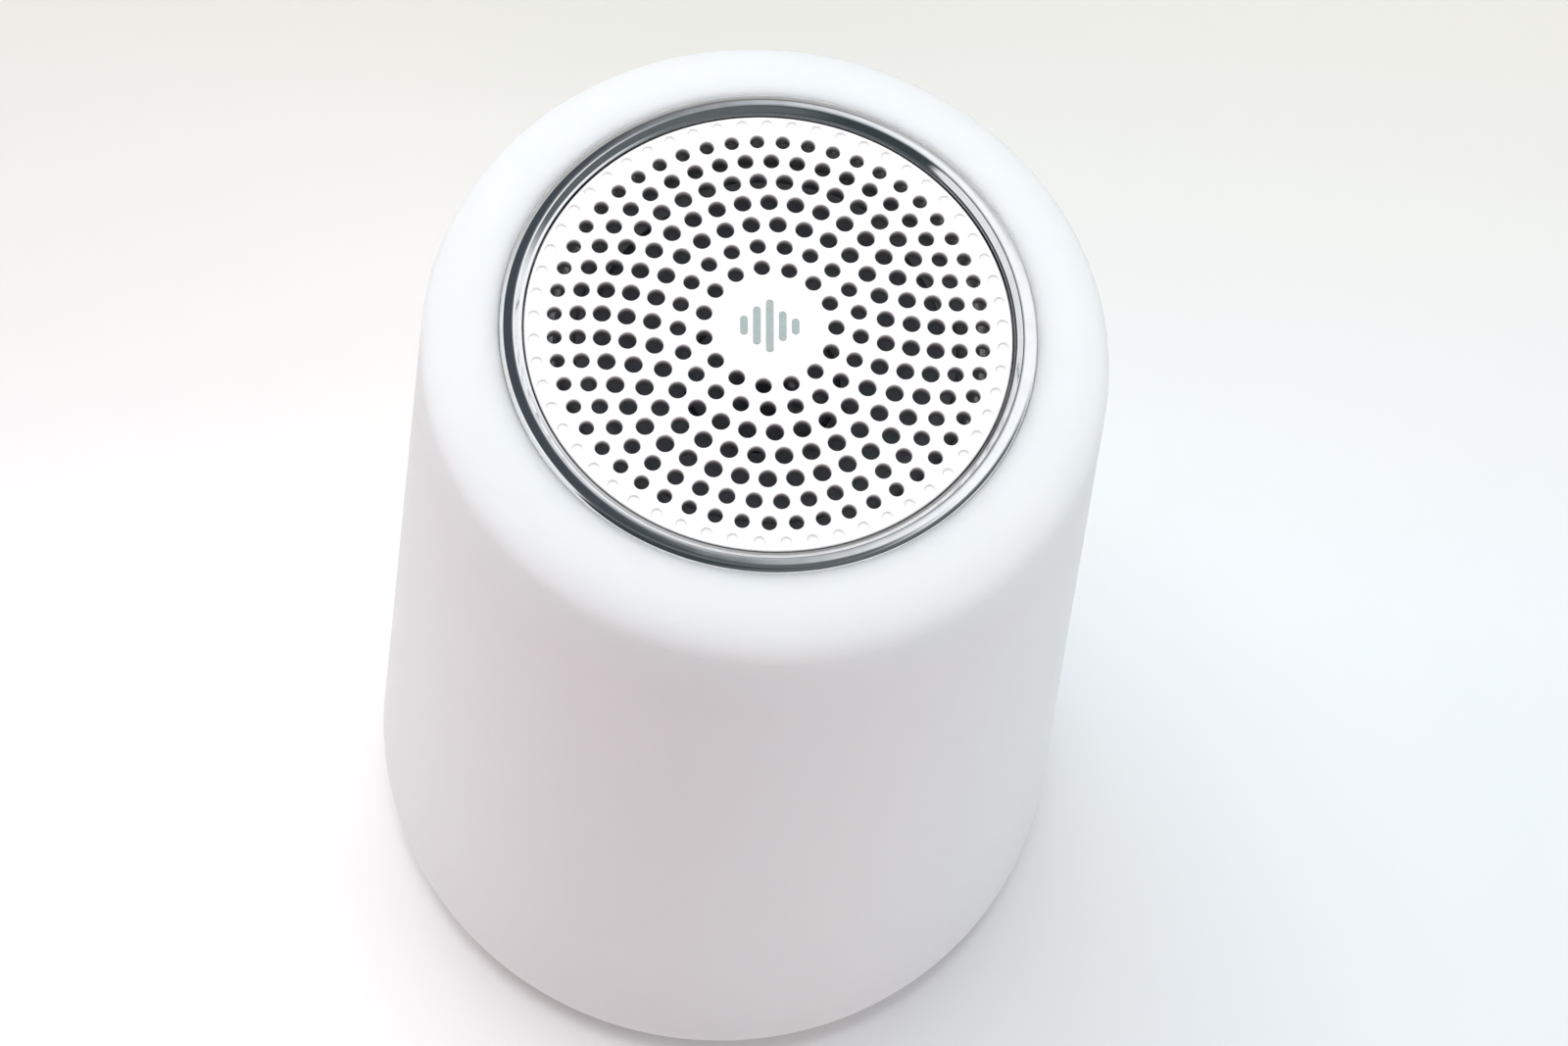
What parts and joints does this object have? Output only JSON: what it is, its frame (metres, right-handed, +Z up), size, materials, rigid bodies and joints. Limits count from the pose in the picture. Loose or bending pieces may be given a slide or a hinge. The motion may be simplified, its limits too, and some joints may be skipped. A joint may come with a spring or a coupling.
{
  "type": "smart speaker",
  "caption": "Table speaker in a frosted lamp shade: flared body, chrome ring round an upward-firing perforated grille, low plinth and rear port panel.",
  "frame": {"origin": "centre of the face that it rests on, under the foot ring", "axes": "+Z up through the grille's centre, +Y towards the rear ports, +X to the right seen from the front"},
  "size_m": [0.1126, 0.1126, 0.1478],
  "materials": {
    "opal_shade": "satin",
    "chrome_trim": "mirror polished",
    "grille_white": "satin",
    "badge_ink": "printed",
    "soft_seal": "matte",
    "white_inner_plastic": "satin",
    "foam": "foam",
    "pressed_steel": "satin",
    "black_rubber": "matte",
    "cone_paper": "coated paper",
    "copper_wire": "enamelled",
    "spider_cloth": "resin-dipped cloth",
    "ferrite": "ground",
    "zinc_steel": "zinc plated",
    "brass_contact": "bare",
    "wire_white": "satin",
    "wire_mixed": "satin",
    "board_white": "solder mask",
    "led_package": "phosphor",
    "board_green": "solder mask",
    "chip_black": "moulded",
    "black_plastic": "satin",
    "cell_wrap": "shrink wrap",
    "screw_steel": "zinc plated",
    "key_grey": "satin",
    "clear_plastic": "clear",
    "base_white": "gloss",
    "foot_silicone": "matte"
  },
  "bodies": {
    "housing": {"shade": "opal_shade", "trim_ring": "chrome_trim", "grille": "grille_white", "badge": "badge_ink", "ring_seal": "soft_seal", "chamber": "white_inner_plastic", "speaker_gasket": "foam", "speaker_frame": "pressed_steel", "surround": "black_rubber", "spider": "spider_cloth", "magnet": "ferrite", "front_plate": "zinc_steel", "yoke": "zinc_steel", "touch_contact": "brass_contact", "touch_lead": "wire_white", "speaker_leads": "wire_mixed", "column": "white_inner_plastic", "column_screws": "screw_steel", "chamber_screws": "screw_steel", "led_board": "board_white", "leds": "led_package", "led_board_screws": "screw_steel", "core_cover": "white_inner_plastic", "core_screws": "screw_steel", "battery_cradle": "black_plastic", "battery_cell": "cell_wrap", "battery_tabs": "zinc_steel", "main_board": "board_green", "board_parts": "chip_black", "board_screws": "screw_steel", "audio_jack": "black_plastic", "usb_socket": "zinc_steel", "card_slot": "zinc_steel", "power_switch": "zinc_steel", "key_board": "board_green", "key_switches": "zinc_steel", "light_pipe": "clear_plastic", "port_panel": "base_white", "base_housing": "base_white", "bottom_cover": "base_white", "bottom_screws": "screw_steel", "foot_ring": "foot_silicone"},
    "volume_down_button": {"volume_down_key": "key_grey"},
    "mode_button": {"mode_key": "key_grey"},
    "volume_up_button": {"volume_up_key": "key_grey"},
    "power_slider": {"power_knob": "black_plastic"},
    "cone_assembly": {"speaker_cone": "cone_paper", "dust_cap": "cone_paper", "voice_coil": "copper_wire"}
  },
  "joints": [
    {"name": "volume_down_press", "type": "slide", "parent": "housing", "child": "volume_down_button", "axis": [0, -1, 0], "range_m": [0, 0.0005], "stiffness_N_per_m": 300, "springref_m": -0.001},
    {"name": "mode_press", "type": "slide", "parent": "housing", "child": "mode_button", "axis": [0, -1, 0], "range_m": [0, 0.0005], "stiffness_N_per_m": 300, "springref_m": -0.001},
    {"name": "volume_up_press", "type": "slide", "parent": "housing", "child": "volume_up_button", "axis": [0, -1, 0], "range_m": [0, 0.0005], "stiffness_N_per_m": 300, "springref_m": -0.001},
    {"name": "power_slide", "type": "slide", "parent": "housing", "child": "power_slider", "axis": [1, 0, 0], "range_m": [0, 0.002]},
    {"name": "cone_travel", "type": "slide", "parent": "housing", "child": "cone_assembly", "axis": [0, 0, 1], "range_m": [-0.001, 0.001], "stiffness_N_per_m": 1500, "deforming": ["surround", "spider"]}
  ]
}
